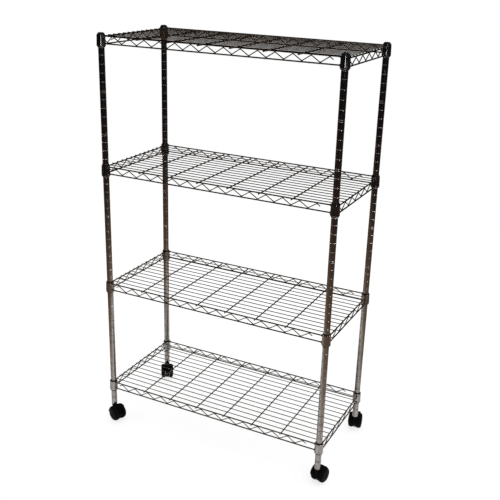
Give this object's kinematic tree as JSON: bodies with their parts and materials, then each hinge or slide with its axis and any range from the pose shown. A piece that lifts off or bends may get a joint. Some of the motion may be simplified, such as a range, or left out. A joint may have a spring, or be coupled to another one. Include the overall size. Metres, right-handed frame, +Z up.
{
  "type": "wire shelf cart",
  "caption": "Rolling wire shelf cart: wire shelves with zigzag edges clipped to grooved posts on swivel twin-wheel casters.",
  "frame": {"origin": "on the floor, midway between the four posts", "axes": "+X along the shelves to the right, +Y to the back, +Z up"},
  "size_m": [0.7888, 0.4046, 1.2631],
  "materials": {
    "post_chrome": "bright chrome plating",
    "wire_chrome": "bright chrome plating",
    "collar_chrome": "bright chrome plating",
    "clip_plastic": "black moulded",
    "cap_plastic": "black moulded",
    "socket_plastic": "dark moulded",
    "hood_plastic": "black moulded, fine grain",
    "wheel_nylon": "black nylon",
    "zinc_steel": "zinc plated"
  },
  "bodies": {
    "frame": {"post_front_left": "post_chrome", "post_front_right": "post_chrome", "post_back_left": "post_chrome", "post_back_right": "post_chrome", "post_caps": "cap_plastic", "caster_sockets": "socket_plastic", "bottom_shelf_rim_wires": "wire_chrome", "bottom_shelf_truss_wires": "wire_chrome", "bottom_shelf_deck_wires": "wire_chrome", "bottom_shelf_cross_wires": "wire_chrome", "bottom_shelf_corner_collars": "collar_chrome", "bottom_shelf_post_clips": "clip_plastic", "lower_shelf_rim_wires": "wire_chrome", "lower_shelf_truss_wires": "wire_chrome", "lower_shelf_deck_wires": "wire_chrome", "lower_shelf_cross_wires": "wire_chrome", "lower_shelf_corner_collars": "collar_chrome", "lower_shelf_post_clips": "clip_plastic", "upper_shelf_rim_wires": "wire_chrome", "upper_shelf_truss_wires": "wire_chrome", "upper_shelf_deck_wires": "wire_chrome", "upper_shelf_cross_wires": "wire_chrome", "upper_shelf_corner_collars": "collar_chrome", "upper_shelf_post_clips": "clip_plastic", "top_shelf_rim_wires": "wire_chrome", "top_shelf_truss_wires": "wire_chrome", "top_shelf_deck_wires": "wire_chrome", "top_shelf_cross_wires": "wire_chrome", "top_shelf_corner_collars": "collar_chrome", "top_shelf_post_clips": "clip_plastic", "caster_front_left_stem": "zinc_steel", "caster_front_right_stem": "zinc_steel", "caster_back_left_stem": "zinc_steel", "caster_back_right_stem": "zinc_steel"},
    "caster_front_left": {"caster_front_left_hood": "hood_plastic", "caster_front_left_axle": "zinc_steel"},
    "wheel_front_left_a": {"caster_front_left_wheel_a": "wheel_nylon"},
    "wheel_front_left_b": {"caster_front_left_wheel_b": "wheel_nylon"},
    "caster_front_right": {"caster_front_right_hood": "hood_plastic", "caster_front_right_axle": "zinc_steel"},
    "wheel_front_right_a": {"caster_front_right_wheel_a": "wheel_nylon"},
    "wheel_front_right_b": {"caster_front_right_wheel_b": "wheel_nylon"},
    "caster_back_left": {"caster_back_left_hood": "hood_plastic", "caster_back_left_axle": "zinc_steel", "caster_back_left_brake_pin": "zinc_steel"},
    "wheel_back_left_a": {"caster_back_left_wheel_a": "wheel_nylon"},
    "wheel_back_left_b": {"caster_back_left_wheel_b": "wheel_nylon"},
    "brake_lever_back_left": {"caster_back_left_brake_lever": "hood_plastic"},
    "caster_back_right": {"caster_back_right_hood": "hood_plastic", "caster_back_right_axle": "zinc_steel", "caster_back_right_brake_pin": "zinc_steel"},
    "wheel_back_right_a": {"caster_back_right_wheel_a": "wheel_nylon"},
    "wheel_back_right_b": {"caster_back_right_wheel_b": "wheel_nylon"},
    "brake_lever_back_right": {"caster_back_right_brake_lever": "hood_plastic"}
  },
  "joints": [
    {"name": "front_left_swivel", "type": "hinge", "parent": "frame", "child": "caster_front_left", "pos_m": [-0.3695, -0.164, 0.05], "axis": [0, 0, 1], "continuous": true},
    {"name": "front_left_wheel_a_spin", "type": "hinge", "parent": "caster_front_left", "child": "wheel_front_left_a", "pos_m": [-0.35353, -0.16981, 0.024], "axis": [0.342, 0.9397, 0], "continuous": true},
    {"name": "front_left_wheel_b_spin", "type": "hinge", "parent": "caster_front_left", "child": "wheel_front_left_b", "pos_m": [-0.35353, -0.16981, 0.024], "axis": [0.342, 0.9397, 0], "continuous": true},
    {"name": "front_right_swivel", "type": "hinge", "parent": "frame", "child": "caster_front_right", "pos_m": [0.3695, -0.164, 0.05], "axis": [0, 0, 1], "continuous": true},
    {"name": "front_right_wheel_a_spin", "type": "hinge", "parent": "caster_front_right", "child": "wheel_front_right_a", "pos_m": [0.37245, -0.14726, 0.024], "axis": [-0.9848, 0.1736, 0], "continuous": true},
    {"name": "front_right_wheel_b_spin", "type": "hinge", "parent": "caster_front_right", "child": "wheel_front_right_b", "pos_m": [0.37245, -0.14726, 0.024], "axis": [-0.9848, 0.1736, 0], "continuous": true},
    {"name": "back_left_swivel", "type": "hinge", "parent": "frame", "child": "caster_back_left", "pos_m": [-0.3695, 0.164, 0.05], "axis": [0, 0, 1], "continuous": true},
    {"name": "back_left_wheel_a_spin", "type": "hinge", "parent": "caster_back_left", "child": "wheel_back_left_a", "pos_m": [-0.36024, 0.14974, 0.024], "axis": [0.8387, 0.5446, 0], "continuous": true},
    {"name": "back_left_wheel_b_spin", "type": "hinge", "parent": "caster_back_left", "child": "wheel_back_left_b", "pos_m": [-0.36024, 0.14974, 0.024], "axis": [0.8387, 0.5446, 0], "continuous": true},
    {"name": "back_left_brake_press", "type": "hinge", "parent": "caster_back_left", "child": "brake_lever_back_left", "pos_m": [-0.35371, 0.13968, 0.037], "axis": [0.8387, 0.5446, 0], "range_deg": [0, 8]},
    {"name": "back_right_swivel", "type": "hinge", "parent": "frame", "child": "caster_back_right", "pos_m": [0.3695, 0.164, 0.05], "axis": [0, 0, 1], "continuous": true},
    {"name": "back_right_wheel_a_spin", "type": "hinge", "parent": "caster_back_right", "child": "wheel_back_right_a", "pos_m": [0.36655, 0.18074, 0.024], "axis": [-0.9848, -0.1736, 0], "continuous": true},
    {"name": "back_right_wheel_b_spin", "type": "hinge", "parent": "caster_back_right", "child": "wheel_back_right_b", "pos_m": [0.36655, 0.18074, 0.024], "axis": [-0.9848, -0.1736, 0], "continuous": true},
    {"name": "back_right_brake_press", "type": "hinge", "parent": "caster_back_right", "child": "brake_lever_back_right", "pos_m": [0.36446, 0.19256, 0.037], "axis": [-0.9848, -0.1736, 0], "range_deg": [0, 8]}
  ]
}
